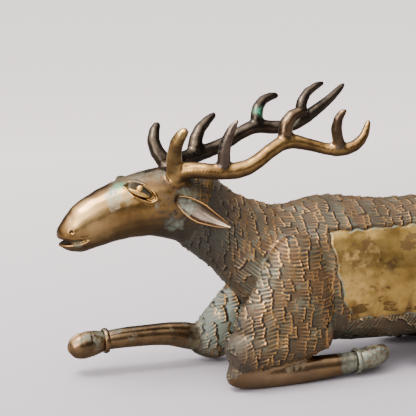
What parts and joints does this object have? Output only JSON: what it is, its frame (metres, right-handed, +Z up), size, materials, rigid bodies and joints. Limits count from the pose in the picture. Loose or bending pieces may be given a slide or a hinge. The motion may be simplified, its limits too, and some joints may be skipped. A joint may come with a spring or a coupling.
{
  "type": "bronze stag statuette",
  "caption": "Reclining bronze stag with swept-back branched antlers, tufted fur in relief and smooth plates let into its flanks.",
  "frame": {"origin": "centre of the overall bounding box's bottom face, on the surface the statuette rests on", "axes": "+X from the stag's nose to its rump, +Y towards the stag's right side, +Z up"},
  "size_m": [0.4597, 0.1356, 0.2626],
  "materials": {
    "fur_bronze": "cast bronze with fur in relief, dark in the hollows, rubbed copper on the ridges",
    "smooth_bronze": "smooth cast bronze, worn golden brown, with grey-green patina",
    "dark_bronze": "dark brown patinated bronze",
    "plate_brass": "smooth golden brass with brown mottling"
  },
  "bodies": {
    "root": {"body_shell": "fur_bronze", "foreleg_left_upper": "fur_bronze", "foreleg_right_upper": "fur_bronze", "hindleg_left_upper": "fur_bronze", "hindleg_right_upper": "fur_bronze", "tail": "fur_bronze", "head": "smooth_bronze", "ear_left": "smooth_bronze", "ear_right": "smooth_bronze", "eye_left": "smooth_bronze", "eye_right": "smooth_bronze", "antler_beam_left": "smooth_bronze", "antler_left_brow_tine": "smooth_bronze", "antler_left_second_tine": "smooth_bronze", "antler_left_third_tine": "smooth_bronze", "antler_left_fourth_tine": "smooth_bronze", "foreleg_left_shank": "smooth_bronze", "foreleg_left_pastern_ring": "smooth_bronze", "foreleg_left_hoof": "smooth_bronze", "foreleg_right_shank": "smooth_bronze", "foreleg_right_pastern_ring": "smooth_bronze", "foreleg_right_hoof": "smooth_bronze", "hindleg_left_shank": "smooth_bronze", "hindleg_left_pastern_ring": "smooth_bronze", "hindleg_left_hoof": "smooth_bronze", "hindleg_right_shank": "smooth_bronze", "hindleg_right_pastern_ring": "smooth_bronze", "hindleg_right_hoof": "smooth_bronze", "antler_beam_right": "dark_bronze", "antler_right_brow_tine": "dark_bronze", "antler_right_second_tine": "dark_bronze", "antler_right_third_tine": "dark_bronze", "antler_right_fourth_tine": "dark_bronze", "flank_plate_left": "plate_brass", "flank_plate_right": "plate_brass"}
  },
  "joints": []
}
